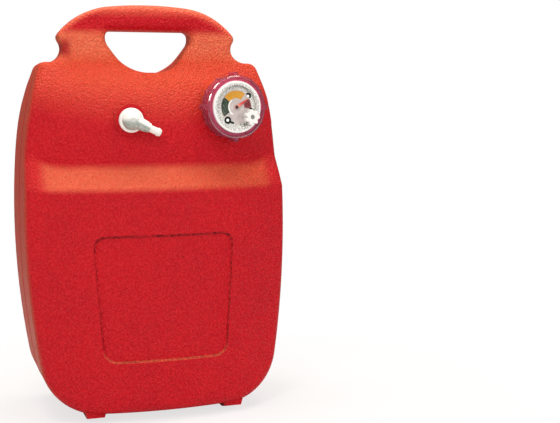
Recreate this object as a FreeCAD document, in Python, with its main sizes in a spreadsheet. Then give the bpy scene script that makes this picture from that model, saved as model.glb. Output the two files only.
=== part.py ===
"""Portable outboard fuel tank with a gauge cap and an outlet elbow.

Millimetres, +Z up. The origin is on the ground under the middle of the tank, and the front faces -Y.
The mould's parting plane is a little behind that middle, at parting_y, and depths are measured from it.
In use the tank also lies on its flat back, with the cap upwards.
"""
import FreeCAD, Part
import math
import os
import re
import Sketcher

Vector = FreeCAD.Vector
os.makedirs("parts", exist_ok=True)
doc = FreeCAD.newDocument("outboard_fuel_tank")
sheet = doc.addObject("Spreadsheet::Sheet", "sizes")

# Driving sizes in millimetres and degrees, by piece
SIZES = {
    # Shell outline, seen from the front: the widest half and how far the rest draws in from it, and the
    # shoulder's height and how far the grip's and the brow's heights lie from it
    "foot_height": 12, "side_half": 181.3, "side_z": 208.8, "side_radius": 1100,
    "base_draw": 33.3, "base_half": "=side_half - base_draw", "base_radius": 72,
    "hip_draw": 14.7, "hip_half": "=side_half - hip_draw", "hip_radius": 480,
    "shoulder_draw": 34.3, "shoulder_half": "=side_half - shoulder_draw", "shoulder_z": 468,
    "shoulder_radius": 13, "hip_drop": 75, "hip_z": "=shoulder_z - hip_drop",
    "notch_draw": 65.9, "notch_half": "=side_half - notch_draw", "notch_radius": 18, "ear_radius": 8,
    "grip_rise": 77, "tank_height": "=shoulder_z + grip_rise", "dome_radius": 450, "dome_side_radius": 98,
    "dome_draw": 127.3, "dome_break": "=side_half - dome_draw",
    # Hand opening
    "open_half": 57.5, "grip_bar": 35, "open_top": "=tank_height - grip_bar", "open_top_radius": 8,
    "knee_drop": 15, "open_knee": "=open_top - knee_drop", "open_knee_radius": 18,
    "open_drop": 14, "open_low": "=shoulder_z - open_drop", "open_low_half": 29, "open_low_radius": 45,
    # Shell side profile: distances in front of and behind the parting plane
    "front_lower": 108.4, "front_step": 25, "front_upper": "=front_lower - front_step",
    "crown_radius": 402, "ledge_low": 303, "ledge_rise": 28, "ledge_high": "=ledge_low + ledge_rise",
    "ledge_nose": 12, "ledge_root": 14, "ledge_flat": 125, "ledge_climb": 38,
    "brow_drop": 50, "brow_z": "=shoulder_z - brow_drop", "brow_rise": 6,
    "brow_top": "=shoulder_z + brow_rise", "brow_radius": 95,
    "slab_front": 22, "slab_back": 16, "slab_root": 30,
    "back_flat": 93, "parting_y": "=(front_lower - back_flat) / 2", "back_brow_drop": 43, "back_brow_z": "=shoulder_z - back_brow_drop",
    "back_brow_rise": 8, "back_brow_top": "=shoulder_z + back_brow_rise", "back_brow_radius": 78,
    # Rounding of the shell's edges
    "front_round": 14, "back_round": 16, "ear_round": 7.5, "dome_round": 13, "grip_round": 11,
    "shoulder_fade": 25,
    "wall": 4, "seam_width": 1.6, "seam_height": 0.4,
    # Recessed panel
    "panel_top_half": 92, "panel_low_half": 80.5, "panel_top": 243.5, "panel_low": 82, "panel_radius": 16,
    "panel_depth": 1.6,
    # Feet
    "foot_x": 92, "foot_width": 17, "foot_flare": 5, "foot_front": 60, "foot_back": 62, "foot_round": 3,
    "toe_front": 90, "toe_rise": 8,
    # Filler neck and its thread
    "cap_draw": 83.1, "cap_x": "=side_half - cap_draw", "cap_reach": 5.6,
    "cap_y": "=front_upper + cap_reach", "cap_drop": 60.2, "cap_z": "=shoulder_z - cap_drop", "cap_turn": 8,
    "neck_bore": 30, "neck_outer": 36, "neck_root": 40, "neck_gap": 1.5, "neck_reach": 50,
    "thread_height": 1.6, "thread_pitch": 4, "thread_turns": 2, "thread_base": 2.5, "thread_crest": 1.0,
    "thread_play": 0.5, "thread_sink": 0.4, "thread_start": 9.5, "ring_thread_turns": 1.25,
    "ring_thread_at": 45,
    # Cap ring
    "ring_outer": 41.5, "ring_lip_bore": 34.5, "ring_skirt": 12, "ring_front": 7.5, "ring_lip": 2.2,
    "lug_radius": 3.8, "lug_rise": 0.6, "rib_radius": 1.8, "lug_count": 4, "rib_count": 12, "lug_end": 1.2,
    # Gasket and gauge housing
    "gasket_thick": 2, "gasket_bore": 30.6, "flange_radius": 37.2, "flange_thick": 3, "rim_radius": 34,
    "rim_front": 10.5, "rim_bore": 28.6, "window_ledge": 8.3, "ledge_bore": 27.6, "dish_floor": 4.5,
    "cup_radius": 29.4, "cup_bore": 27, "cup_depth": 6, "floor_under": 1.5, "barrel_radius": 12,
    "barrel_depth": 9, "bush_radius": 3.2, "face_gap": 0.3, "edge_gap": 0.4, "rim_round": 1.4,
    # Dial, window and pointer
    "dial_radius": 27.2, "dial_thick": 1, "window_radius": 28.2, "window_thick": 1.4,
    "pointer_length": 19.5, "pointer_width": 2.2, "pointer_tail": 2.6, "pointer_thick": 0.6,
    "pointer_lift": 1.2, "pointer_angle": 32, "hub_radius": 2.1, "hub_height": 0.7,
    "screw_circle": 25.2, "screw_turn_low": 63.5, "screw_turn_high": 9.5, "screw_head": 1.5,
    "screw_head_height": 0.8,
    "screw_shank": 0.9, "screw_gap": 0.1, "screw_length": 2.6, "press_gap": 0.05,
    # Spindle, guide rods and float
    "spindle_radius": 1.5, "spindle_play": 0.08, "strip_width": 5, "strip_thick": 0.8, "strip_step": 4,
    "sweep_angle": 232, "float_stroke": 104, "rod_radius": 1.5, "rod_offset": 9, "rod_sink": 6,
    "rod_tail": 2, "foot_plate_radius": 14, "foot_plate_thick": 3, "foot_plate_w": 150,
    "float_radius": 20, "float_thick": 24, "float_bore": 4.6, "float_w": 118, "float_rod_gap": 0.5,
    "slider_thick": 2.4, "slider_radius": 6.2, "slot_gap": 0.35, "clip_radius": 3, "clip_thick": 1,
    "bush_flange": 5, "bush_flange_thick": 1.2,
    # Vent screw and knob
    "vent_u": 18, "vent_v": 13.3, "vent_boss": 6.2, "vent_hole": 3.3, "vent_shank": 3.0,
    "vent_washer": 5.6, "vent_washer_thick": 1, "vent_tail": 2, "knob_radius": 7.6, "knob_lobe": 2.4,
    "knob_lobe_circle": 7.9, "knob_lobes": 7, "knob_height": 7, "knob_dish": 2.2,
    # Outlet boss, bush and elbow
    "outlet_x": 38.5, "outlet_y": "=front_upper", "outlet_drop": 76.5,
    "outlet_z": "=shoulder_z - outlet_drop", "boss_radius": 20.6, "boss_rim_depth": 6,
    "boss_core": 13, "boss_depth": 13, "bush_thread": 8, "bush_thread_gap": 0.1, "bush_shank": 14,
    "outlet_washer": 13.6, "outlet_washer_thick": 1.2, "outlet_flange_thick": 2.6,
    "socket_radius": 5, "socket_depth": 8, "stub_radius": 4.4, "stub_length": 10, "stub_bore": 2.8,
    "elbow_radius": 15.9, "elbow_low": 0.4, "elbow_skirt_bore": 14.2, "elbow_front": 19.5,
    "skirt_roof": 2.4, "skirt_round": 2, "hood_radius": 13, "hood_round": 11, "spigot_play": 0.08,
    "groove_radius": 3.6, "groove_top": 3, "groove_width": 1.5,
    "ring_section": 0.62, "ring_play": 0.06, "elbow_bore": 2.8, "arm_bore": 3.1, "arm_w": 10.2, "arm_angle": 25,
    "arm_base": 9.4, "arm_tip": 7.2, "arm_cone": 20.5, "arm_collar": 6.4, "arm_end": 24,
    "barb_sink": 5.5, "barb_radius": 4.8, "barb_bead": 5.6, "barb_nose": 4.4, "barb_end": 40,
    "barb_bead_length": 5, "barb_land": 2, "barb_bore": 2.8,
    # Pickup tube and strainer
    "tube_radius": 5.8, "tube_play": 0.08, "tube_end": 158, "strainer_wall": 1.2, "strainer_play": 0.1,
    "strainer_neck": 138, "strainer_shoulder": 146, "strainer_end": 166, "strainer_radius": 8.4,
    "slot_width": 2.2, "slot_low": 163, "slot_high": 149, "slot_count": 8,
}
for line, (name, value) in enumerate(SIZES.items(), start=1):
    sheet.set(f"A{line}", name)
    sheet.set(f"B{line}", str(value))
    sheet.setAlias(f"B{line}", name)
doc.recompute()
pieces = []
# How far a cutting solid runs past the face that it cuts, and a length beyond the whole tank
PAST, FAR = 1, 200


def size(name):
    """A driving size, read from the sheet."""
    return float(sheet.get(name))


def bound(rule):
    """A rule in the sheet's words, such as "wall + 2", as an expression of the document."""
    def prefixed(found):
        word = found.group()
        return f"sizes.{word}" if word in SIZES else word
    return re.sub(r"[a-z_]+", prefixed, rule)


# Seats: where a piece's own axes lie. Each piece's Z axis points out of the tank.
def facing(turn, roll=0, lean=0):
    """Turn of a seat that faces -Y, swung by turn; a roll about its axis and a lean then lay it over."""
    upright = FreeCAD.Rotation(Vector(0, 0, 1), turn) * FreeCAD.Rotation(Vector(1, 0, 0), 90)
    return upright * FreeCAD.Rotation(Vector(0, 0, 1), roll) * FreeCAD.Rotation(Vector(0, 1, 0), lean)


CAP_FRONT, OUTLET_FRONT = "parting_y - cap_y", "parting_y - outlet_y"
SEATS = {
    "parting": (("0", "parting_y", "0"), FreeCAD.Rotation()),
    "cap": (("cap_x", CAP_FRONT, "cap_z"), facing(size("cap_turn"))),
    "pointer": (("cap_x", CAP_FRONT, "cap_z"), facing(size("cap_turn"), size("pointer_angle"))),
    "vent": (("cap_x + vent_u * cos(cap_turn)", f"{CAP_FRONT} + vent_u * sin(cap_turn)", "cap_z - vent_v"),
             facing(size("cap_turn"))),
    "outlet": (("-outlet_x", OUTLET_FRONT, "outlet_z"), facing(0)),
    "arm": (("-outlet_x", f"{OUTLET_FRONT} - arm_w", "outlet_z"), facing(0, -size("arm_angle"), 90)),
}


def seat_placement(seat):
    """The cap's or the outlet's seat on the shell, measured from the parting plane."""
    sign = 1 if seat == "cap" else -1
    base = Vector(sign * size(f"{seat}_x"), -size(f"{seat}_y"), size(f"{seat}_z"))
    return FreeCAD.Placement(base, SEATS[seat][1])


def keep(item, seat):
    """Note a finished piece, and put it on its seat with its place bound to the sheet."""
    rules, turn = SEATS[seat]
    item.Placement = FreeCAD.Placement(Vector(), turn)
    for axis, rule in zip("xyz", rules):
        item.setExpression(f".Placement.Base.{axis}", bound(rule))
    pieces.append(item)


def shaped(label, shape):
    """A document object that holds a shape made by Part's functions."""
    item = doc.addObject("Part::Feature", label)
    item.Label = label
    item.Shape = shape
    return item


def new_body(label):
    body = doc.addObject("PartDesign::Body", label)
    body.Label = label
    return body


def new_sketch(body, role, offset=None):
    """A sketch on one of the body's origin planes, lifted along its normal by a rule."""
    plane = next(item for item in body.Origin.OriginFeatures if item.Role == role)
    sketch = body.newObject("Sketcher::SketchObject", f"{body.Label}_sketch")
    sketch.AttachmentSupport = [(plane, "")]
    sketch.MapMode = "FlatFace"
    if offset:
        sketch.setExpression("AttachmentOffset.Base.z", bound(offset))
    return sketch


def polygon(sketch, corners):
    """A closed outline whose corners are bound to pairs of rules."""
    count = len(corners)
    first = sketch.GeometryCount
    spots = [Vector(50 + 20 * math.cos(math.tau * k / count), 20 * math.sin(math.tau * k / count), 0)
             for k in range(count)]
    for k in range(count):
        sketch.addGeometry(Part.LineSegment(spots[k], spots[(k + 1) % count]), False)
    for k in range(count):
        sketch.addConstraint(Sketcher.Constraint("Coincident", first + k, 2, first + (k + 1) % count, 1))
    for k, (across, along) in enumerate(corners):
        for kind, rule, value in (("DistanceX", across, spots[k].x), ("DistanceY", along, spots[k].y)):
            index = sketch.addConstraint(Sketcher.Constraint(kind, -1, 1, first + k, 1, value))
            sketch.setExpression(f"Constraints[{index}]", bound(rule))


def circle(sketch, radius, across="0", along="0"):
    """A circle with its radius and centre bound to rules."""
    item = sketch.addGeometry(Part.Circle(Vector(5, 5, 0), Vector(0, 0, 1), 3), False)
    index = sketch.addConstraint(Sketcher.Constraint("Radius", item, 3))
    sketch.setExpression(f"Constraints[{index}]", bound(radius))
    for kind, rule in (("DistanceX", across), ("DistanceY", along)):
        index = sketch.addConstraint(Sketcher.Constraint(kind, -1, 1, item, 3, 5))
        sketch.setExpression(f"Constraints[{index}]", bound(rule))


def turn_body(label, corners):
    """A piece turned about its own Z axis from a closed outline of radius and height rules."""
    body = new_body(label)
    sketch = new_sketch(body, "XZ_Plane")
    polygon(sketch, corners)
    solid = body.newObject("PartDesign::Revolution", f"{label}_turned")
    solid.Profile = sketch
    solid.ReferenceAxis = (sketch, ["V_Axis"])
    solid.Angle = 360
    sketch.Visibility = False
    return body


def sleeve(label, inner, outer, low, high):
    """A plain turned ring."""
    return turn_body(label, [(inner, low), (outer, low), (outer, high), (inner, high)])


def pad(body, circles, low, length):
    """Circles raised along Z from a height rule."""
    sketch = new_sketch(body, "XY_Plane", low)
    for rules in circles:
        circle(sketch, *rules)
    solid = body.newObject("PartDesign::Pad", f"{body.Label}_pad")
    solid.Profile = sketch
    solid.setExpression("Length", bound(length))
    return solid


def pocket(body, circles, top, depth, outline=()):
    """Circles and an outline cut downwards from a height rule, with the lost volume checked."""
    doc.recompute()
    before = body.Shape.Volume
    sketch = new_sketch(body, "XY_Plane", top)
    for rules in circles:
        circle(sketch, *rules)
    if outline:
        polygon(sketch, outline)
    cut = body.newObject("PartDesign::Pocket", f"{body.Label}_pocket")
    cut.Profile = sketch
    cut.setExpression("Length", bound(depth))
    doc.recompute()
    if body.Shape.Volume > before - 1e-3:
        raise RuntimeError(f"a pocket of {body.Label} cuts nothing")
    return cut


def around(body, feature, count):
    """Copies of a feature round the body's Z axis."""
    axis = next(item for item in body.Origin.OriginFeatures if item.Role == "Z_Axis")
    pattern = body.newObject("PartDesign::PolarPattern", f"{body.Label}_pattern")
    pattern.Originals = [feature]
    pattern.Axis = (axis, [""])
    pattern.Angle = 360
    pattern.setExpression("Occurrences", bound(count))
    body.Tip = pattern
    return pattern


def soften(body, radius, wanted):
    """Round the edges that a test picks from the body's present shape."""
    doc.recompute()
    tip = body.Tip
    names = [f"Edge{k}" for k, edge in enumerate(tip.Shape.Edges, start=1) if wanted(edge)]
    fillet = body.newObject("PartDesign::Fillet", f"{body.Label}_round")
    fillet.Base = (tip, names)
    fillet.setExpression("Radius", bound(radius))
    return fillet


def is_rim(edge, radius, height):
    """Whether an edge is a full circle about Z with this radius and height."""
    curve = edge.Curve
    if not isinstance(curve, Part.Circle):
        return False
    return abs(curve.Radius - radius) < 1e-4 and curve.Center.distanceToPoint(Vector(0, 0, height)) < 1e-4


def cylinder(label, radius, low, high, across="0"):
    """A plain cylinder along Z between two height rules."""
    item = doc.addObject("Part::Cylinder", label)
    item.setExpression("Radius", bound(radius))
    item.setExpression("Height", bound(f"({high}) - ({low})"))
    item.setExpression(".Placement.Base.x", bound(across))
    item.setExpression(".Placement.Base.z", bound(low))
    return item


def joined(kind, label, items):
    """Several solids as one: kind is Part::MultiFuse or Part::Compound."""
    item = doc.addObject(kind, label)
    if kind == "Part::Compound":
        item.Links = items
    else:
        item.Shapes = items
    return item


def less(label, base, tool):
    item = doc.addObject("Part::Cut", label)
    item.Base = base
    item.Tool = tool
    return item


# Outlines with round corners
def rounded_path(corners, place):
    """Edges of an open path of (across, up, radius) corners, each a line or a tangent arc."""
    edges = []
    last = None
    for k, (across, up, radius) in enumerate(corners):
        enter = leave = (across, up)
        arc = None
        if radius > 0:
            back = Vector(corners[k - 1][0] - across, corners[k - 1][1] - up).normalize()
            ahead = Vector(corners[k + 1][0] - across, corners[k + 1][1] - up).normalize()
            half = back.getAngle(ahead) / 2
            run = radius / math.tan(half)
            middle = (back + ahead).normalize() * (radius / math.sin(half) - radius)
            enter = (across + back.x * run, up + back.y * run)
            leave = (across + ahead.x * run, up + ahead.y * run)
            arc = Part.Arc(place(*enter), place(across + middle.x, up + middle.y), place(*leave)).toShape()
        if last and math.dist(last, enter) > 1e-6:
            edges.append(Part.makeLine(place(*last), place(*enter)))
        if arc:
            edges.append(arc)
        last = leave
    return edges


def closed_face(edges):
    return Part.Face(Part.Wire(Part.__sortEdges__(edges)))


def mirrored_face(half_path):
    """A face in the XZ plane from the path of its right half, which starts and ends at x = 0."""
    right = half_path(lambda across, up: Vector(across, 0, up))
    left = half_path(lambda across, up: Vector(-across, 0, up))
    return closed_face(right + left)


def arc_about(centre, radius, start, end, place):
    """An arc about a centre between two angles in radians."""
    spots = [(centre[0] + radius * math.cos(turn), centre[1] + radius * math.sin(turn))
             for turn in (start, (start + end) / 2, end)]
    return Part.Arc(*[place(*spot) for spot in spots]).toShape()


def shell_outline(place):
    """Right half of the tank's outline: base, side, shoulder, notch, ear and dome, all tangent."""
    dome, dome_side = size("dome_radius"), size("dome_side_radius")
    notch, ear = size("notch_radius"), size("ear_radius")
    dome_low = size("tank_height") - dome
    break_angle = math.acos(size("dome_break") / dome)
    side_centre = ((dome - dome_side) * math.cos(break_angle),
                   dome_low + (dome - dome_side) * math.sin(break_angle))
    notch_centre = (size("notch_half") + notch, size("shoulder_z") + notch)
    # The ear touches the dome's side from within and the notch from without
    gap = math.dist(side_centre, notch_centre)
    reach = dome_side - ear
    along = (reach ** 2 - (notch + ear) ** 2 + gap ** 2) / (2 * gap)
    off = math.sqrt(reach ** 2 - along ** 2)
    ahead = ((notch_centre[0] - side_centre[0]) / gap, (notch_centre[1] - side_centre[1]) / gap)
    ear_centre = (side_centre[0] + along * ahead[0] - off * ahead[1],
                  side_centre[1] + along * ahead[1] + off * ahead[0])
    to_ear = math.atan2(ear_centre[1] - notch_centre[1], ear_centre[0] - notch_centre[0])
    to_side = math.atan2(ear_centre[1] - side_centre[1], ear_centre[0] - side_centre[0])
    edges = rounded_path([
        (0, size("foot_height"), 0),
        (size("base_half"), size("foot_height"), size("base_radius")),
        (size("side_half"), size("side_z"), size("side_radius")),
        (size("hip_half"), size("hip_z"), size("hip_radius")),
        (size("shoulder_half"), size("shoulder_z"), size("shoulder_radius")),
        (notch_centre[0], size("shoulder_z"), 0)], place)
    edges.append(arc_about(notch_centre, notch, -math.pi / 2, to_ear - math.tau, place))
    edges.append(arc_about(ear_centre, ear, to_ear - math.pi, to_side, place))
    edges.append(arc_about(side_centre, dome_side, to_side, break_angle, place))
    edges.append(arc_about((0, dome_low), dome, break_angle, math.pi / 2, place))
    return edges


def hand_opening(place):
    """Right half of the hand opening: a flat top over a round bowl."""
    return rounded_path([
        (0, size("open_top"), 0),
        (size("open_half"), size("open_top"), size("open_top_radius")),
        (size("open_half"), size("open_knee"), size("open_knee_radius")),
        (size("open_low_half"), size("open_low"), size("open_low_radius")),
        (0, size("open_low"), 0)], place)


def panel_outline(place):
    """Right half of the recessed panel, wider at the top."""
    return rounded_path([
        (0, size("panel_low"), 0),
        (size("panel_low_half"), size("panel_low"), size("panel_radius")),
        (size("panel_top_half"), size("panel_top"), size("panel_radius")),
        (0, size("panel_top"), 0)], place)


def side_block(inset):
    """The tank's depth at every height, wider than the outline: crowned front, ledge, brow, flat back.

    Towards the sides the ledge climbs and runs out into a long slope.
    """
    span = size("side_half") + PAST
    low, top = -PAST, size("tank_height") + PAST
    upper_crown = size("crown_radius") - size("front_lower") + size("front_upper")
    sections = []
    stations = 9
    for k in range(-stations, stations + 1):
        across = span * k / stations
        sag = size("crown_radius") - math.sqrt(size("crown_radius") ** 2 - across ** 2)
        lower = inset - size("front_lower") + sag
        upper = inset - size("front_upper") + sag * size("crown_radius") / upper_crown
        slab = inset - size("slab_front")
        runout = max(0, abs(across) - size("ledge_flat")) / (span - size("ledge_flat"))
        ledge_high = size("ledge_high") + size("ledge_climb") * runout ** 2
        edges = rounded_path([
            (0, low, 0), (lower, low, 0),
            (lower, size("ledge_low") - inset / 2, size("ledge_nose") - inset / 2),
            (upper, ledge_high - inset / 2, size("ledge_root") + inset / 2),
            (upper, size("brow_z") - inset / 2, size("brow_radius") - inset),
            (slab, size("brow_top") - inset / 2, size("slab_root") + inset),
            (slab, top, 0), (0, top, 0)], lambda depth, up: Vector(across, depth, up))
        edges.append(Part.makeLine(Vector(across, 0, top), Vector(across, 0, low)))
        sections.append(Part.Wire(edges))
    front = Part.makeLoft(sections, True, False)
    edges = rounded_path([
        (0, low, 0), (size("back_flat") - inset, low, 0),
        (size("back_flat") - inset, size("back_brow_z") - inset / 2, size("back_brow_radius") - inset),
        (size("slab_back") - inset, size("back_brow_top") - inset / 2, size("slab_root") + inset),
        (size("slab_back") - inset, top, 0), (0, top, 0)], lambda depth, up: Vector(-span, depth, up))
    edges.append(Part.makeLine(Vector(-span, 0, top), Vector(-span, 0, low)))
    back = closed_face(edges).extrude(Vector(2 * span, 0, 0))
    return front.fuse(back).removeSplitter().Solids[0]


def through(face, depth=FAR):
    """A face of the XZ plane, extruded both ways along Y."""
    face = face.copy()
    face.translate(Vector(0, -depth, 0))
    return face.extrude(Vector(0, 2 * depth, 0))


def is_wall(face):
    """Whether a face runs straight from front to back."""
    surface = face.Surface
    if isinstance(surface, Part.Plane):
        return abs(surface.Axis.y) < 1e-6
    return isinstance(surface, Part.Cylinder) and abs(surface.Axis.y) > 0.999


def edge_radius(spot, body_round, cut):
    """The rounding wanted at a point of the outline: full on the body, slimmer at notches and ears."""
    across, up = abs(spot.X), spot.Z
    margin = size("wall") + PAST
    if across < size("open_half") + margin and size("open_low") - margin < up < size("open_top") + margin:
        return size("grip_round") - cut
    if up < size("shoulder_z") - size("shoulder_fade"):
        return body_round - cut
    if up < size("shoulder_z") - size("shoulder_radius") / 2:
        return (body_round + size("ear_round")) / 2 - cut
    if up < size("open_top"):
        return size("ear_round") - cut
    return size("dome_round") - cut


def round_edges(label, shape, cut):
    """Round the outline's front and back edges with a radius that changes along them."""
    base = shaped(f"{label}_sharp", shape)
    edges = []
    for number, edge in enumerate(shape.Edges, start=1):
        faces = shape.ancestorsOfType(edge, Part.Face)
        if len(faces) == 2 and is_wall(faces[0]) != is_wall(faces[1]):
            body_round = size("front_round") if edge.CenterOfMass.y < 0 else size("back_round")
            ends = [edge_radius(vertex, body_round, cut) for vertex in edge.Vertexes]
            edges.append((number, ends[0], ends[-1]))
    fillet = doc.addObject("Part::Fillet", f"{label}_rounded")
    fillet.Base = base
    fillet.Edges = edges
    doc.recompute()
    return fillet.Shape


def grown_face(half_path, growth):
    """A mirrored face with its outline moved outwards, or inwards where growth is below zero."""
    face = mirrored_face(half_path)
    return Part.Face(face.OuterWire.makeOffset2D(growth)) if growth else face


def hollow_form(label, inset):
    """The tank's form at the outside, or at the inside of its wall."""
    prism = through(grown_face(shell_outline, -inset))
    prism = prism.cut(through(grown_face(hand_opening, inset), FAR + PAST))
    block = side_block(inset).common(prism).removeSplitter().Solids[0]
    # The inner rounding is a little fuller than a constant wall asks for, so no corner gets thin
    return round_edges(label, block, inset * 0.9)


def ridge(crest, root, start, turns):
    """A screw thread's ridge about Z from a start height, with its foot sunk in the root."""
    pitch = size("thread_pitch")
    helix = Part.makeHelix(pitch, pitch * turns, root)
    sunk = root - math.copysign(size("thread_sink"), crest - root)
    foot_half, tip_half = size("thread_base") / 2, size("thread_crest") / 2
    profile = Part.makePolygon([Vector(sunk, 0, -foot_half), Vector(crest, 0, -tip_half),
                                Vector(crest, 0, tip_half), Vector(sunk, 0, foot_half),
                                Vector(sunk, 0, -foot_half)])
    solid = Part.Wire(helix).makePipeShell([profile], True, True)
    solid.translate(Vector(0, 0, start))
    return solid


def foot(side):
    """A moulded foot: a low ridge from front to back under the base, with its toe raised to the front."""
    half, flare = size("foot_width") / 2, size("foot_flare")
    top = size("foot_height") + size("wall")
    edges = rounded_path([
        (-half - flare, top, 0), (-half, 0, size("foot_round")), (half, 0, size("foot_round")),
        (half + flare, top, 0)], lambda across, up: Vector(across + side * size("foot_x"), 0, up))
    edges.append(Part.makeLine(Vector(side * size("foot_x") + half + flare, 0, top),
                               Vector(side * size("foot_x") - half - flare, 0, top)))
    block = closed_face(edges).extrude(Vector(0, size("toe_front") + size("foot_back"), 0))
    block.translate(Vector(0, -size("toe_front"), 0))
    under = Part.makePolygon([Vector(-FAR, -size("toe_front") - PAST, -PAST),
                              Vector(-FAR, -size("toe_front") - PAST, size("toe_rise")),
                              Vector(-FAR, -size("toe_front"), size("toe_rise")),
                              Vector(-FAR, -size("foot_front"), 0), Vector(-FAR, -size("foot_front"), -PAST),
                              Vector(-FAR, -size("toe_front") - PAST, -PAST)])
    return block.cut(Part.Face(under).extrude(Vector(2 * FAR, 0, 0)))


def post(radius, low, high, seat):
    """A cylinder about a seat's axis, between two heights."""
    solid = Part.makeCylinder(radius, high - low, Vector(0, 0, low))
    solid.Placement = seat_placement(seat)
    return solid


def make_tank_shell():
    """One hollow moulding: body, grip, neck, outlet boss, panel and feet."""
    seam = through(grown_face(shell_outline, size("seam_height")), size("seam_width") / 2)
    panel = mirrored_face(panel_outline).extrude(Vector(0, -FAR, 0)).cut(side_block(size("panel_depth")))
    cavity = hollow_form("inside", size("wall"))
    skin = hollow_form("outside", 0).fuse(seam.cut(through(mirrored_face(hand_opening))))
    skin = skin.cut(panel).fuse([foot(-1), foot(1)])
    shoulder = -size("ring_skirt") - size("neck_gap")
    skin = skin.fuse([post(size("neck_root"), -size("neck_reach"), shoulder, "cap"),
                      post(size("neck_outer"), -size("neck_reach"), 0, "cap")])
    skin = skin.cut(cavity).cut(post(size("neck_bore"), -size("neck_reach") - PAST, PAST, "cap"))
    skin = skin.fuse([post(size("boss_radius"), -size("boss_rim_depth"), 0, "outlet"),
                      post(size("boss_core"), -size("boss_depth"), 0, "outlet")])
    thread = ridge(size("neck_outer") + size("thread_height"), size("neck_outer"), -size("thread_start"),
                   size("thread_turns"))
    thread.Placement = seat_placement("cap").multiply(thread.Placement)
    hole = post(size("bush_thread") + size("bush_thread_gap"), -size("boss_depth") - PAST, PAST, "outlet")
    skin = skin.fuse(thread).cut(hole)
    print("shell solids", len(skin.Solids), "litres inside", round(cavity.Volume / 1e6, 2))
    keep(shaped("tank_shell", skin.Solids[0]), "parting")


# Cap ring, gasket and gauge housing
def make_cap_ring():
    """Clear lugged ring nut: a skirt with an inside thread and a lip that holds the gauge down."""
    bore = "neck_outer + thread_height + thread_play"
    body = turn_body("cap_ring_blank", [
        (bore, "-ring_skirt"), ("ring_outer", "-ring_skirt"), ("ring_outer", "ring_front"),
        ("ring_lip_bore", "ring_front"), ("ring_lip_bore", "ring_front - ring_lip"),
        (bore, "ring_front - ring_lip")])
    low, length = "-ring_skirt + lug_end", "ring_skirt + ring_front - 2 * lug_end"
    around(body, pad(body, [("rib_radius", "ring_outer")], low, length), "rib_count")
    around(body, pad(body, [("lug_radius", "ring_outer + lug_rise")], low, length), "lug_count")
    root = size("neck_outer") + size("thread_height") + size("thread_play")
    # The ring's thread runs midway between the neck's turns, whatever angle it starts at
    start = size("thread_pitch") * (0.5 + size("ring_thread_at") / 360) - size("thread_start")
    thread = ridge(size("neck_outer") + size("thread_play"), root, start, size("ring_thread_turns"))
    thread.rotate(Vector(), Vector(0, 0, 1), size("ring_thread_at"))
    ring = joined("Part::MultiFuse", "cap_ring", [body, shaped("cap_ring_thread", thread)])
    keep(ring, "cap")


VENT = ("vent_u", "-vent_v")
RODS = [("rod_radius + press_gap", "rod_offset"), ("rod_radius + press_gap", "-rod_offset")]
SCREWS = [("screw_shank + screw_gap", f"screw_circle * cos({turn})", f"-screw_circle * sin({turn})")
          for turn in ("screw_turn_low", "screw_turn_high")]
DIAL_LOW = "dish_floor + face_gap"
DIAL_HIGH = f"{DIAL_LOW} + dial_thick"
POINTER_LOW = f"{DIAL_HIGH} + pointer_lift"
HUB_HIGH = f"{POINTER_LOW} + pointer_thick + hub_height"


def make_gauge_housing():
    """White gauge body: rim, dish, flange, cup in the neck and a barrel that holds the cage."""
    flange_top = "gasket_thick + flange_thick"
    body = turn_body("gauge_housing", [
        ("bush_radius", "dish_floor"), ("ledge_bore", "dish_floor"), ("ledge_bore", "window_ledge"),
        ("rim_bore", "window_ledge"), ("rim_bore", "rim_front"), ("rim_radius", "rim_front"),
        ("rim_radius", flange_top), ("flange_radius", flange_top), ("flange_radius", "gasket_thick"),
        ("cup_radius", "gasket_thick"), ("cup_radius", "-cup_depth"), ("cup_bore", "-cup_depth"),
        ("cup_bore", "floor_under"), ("barrel_radius", "floor_under"), ("barrel_radius", "-barrel_depth"),
        ("bush_radius", "-barrel_depth")])
    soften(body, "rim_round", lambda edge: is_rim(edge, size("rim_radius"), size("rim_front")))
    pad(body, [("vent_boss", *VENT)], "dish_floor - face_gap", "rim_front - dish_floor + face_gap")
    pocket(body, [("vent_hole", *VENT)], "rim_front", "rim_front + cup_depth")
    pocket(body, RODS, "-barrel_depth + rod_sink", "rod_sink")
    pocket(body, SCREWS, "dish_floor", "screw_length")
    keep(body, "cap")
    keep(sleeve("cap_gasket", "gasket_bore", "neck_outer", "0", "gasket_thick"), "cap")


# Dial, window, screws, pointer and spindle
def make_dial():
    """Metal dial plate, its clear window and the two small screws that hold the plate."""
    plate = sleeve("dial_plate", "spindle_radius + edge_gap", "dial_radius", DIAL_LOW, DIAL_HIGH)
    pocket(plate, [("vent_boss + edge_gap", *VENT)] + SCREWS, DIAL_HIGH, "dial_thick")
    keep(plate, "cap")
    low, high = "window_ledge + face_gap", "window_ledge + face_gap + window_thick"
    window = sleeve("dial_window", "0", "window_radius", low, high)
    pocket(window, [("vent_boss + edge_gap", *VENT)], high, "window_thick")
    keep(window, "cap")
    parts = []
    for turn, side in (("screw_turn_low", "low"), ("screw_turn_high", "high")):
        spot = (f"screw_circle * cos({turn})", f"-screw_circle * sin({turn})")
        for name, radius, bottom, top in (
                ("head", "screw_head", DIAL_HIGH, f"{DIAL_HIGH} + screw_head_height"),
                ("shank", "screw_shank", f"{DIAL_HIGH} - screw_length", DIAL_HIGH)):
            item = cylinder(f"dial_screw_{name}_{side}", radius, bottom, top, spot[0])
            item.setExpression(".Placement.Base.y", bound(spot[1]))
            parts.append(item)
    keep(joined("Part::MultiFuse", "dial_screws", parts), "cap")


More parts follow.
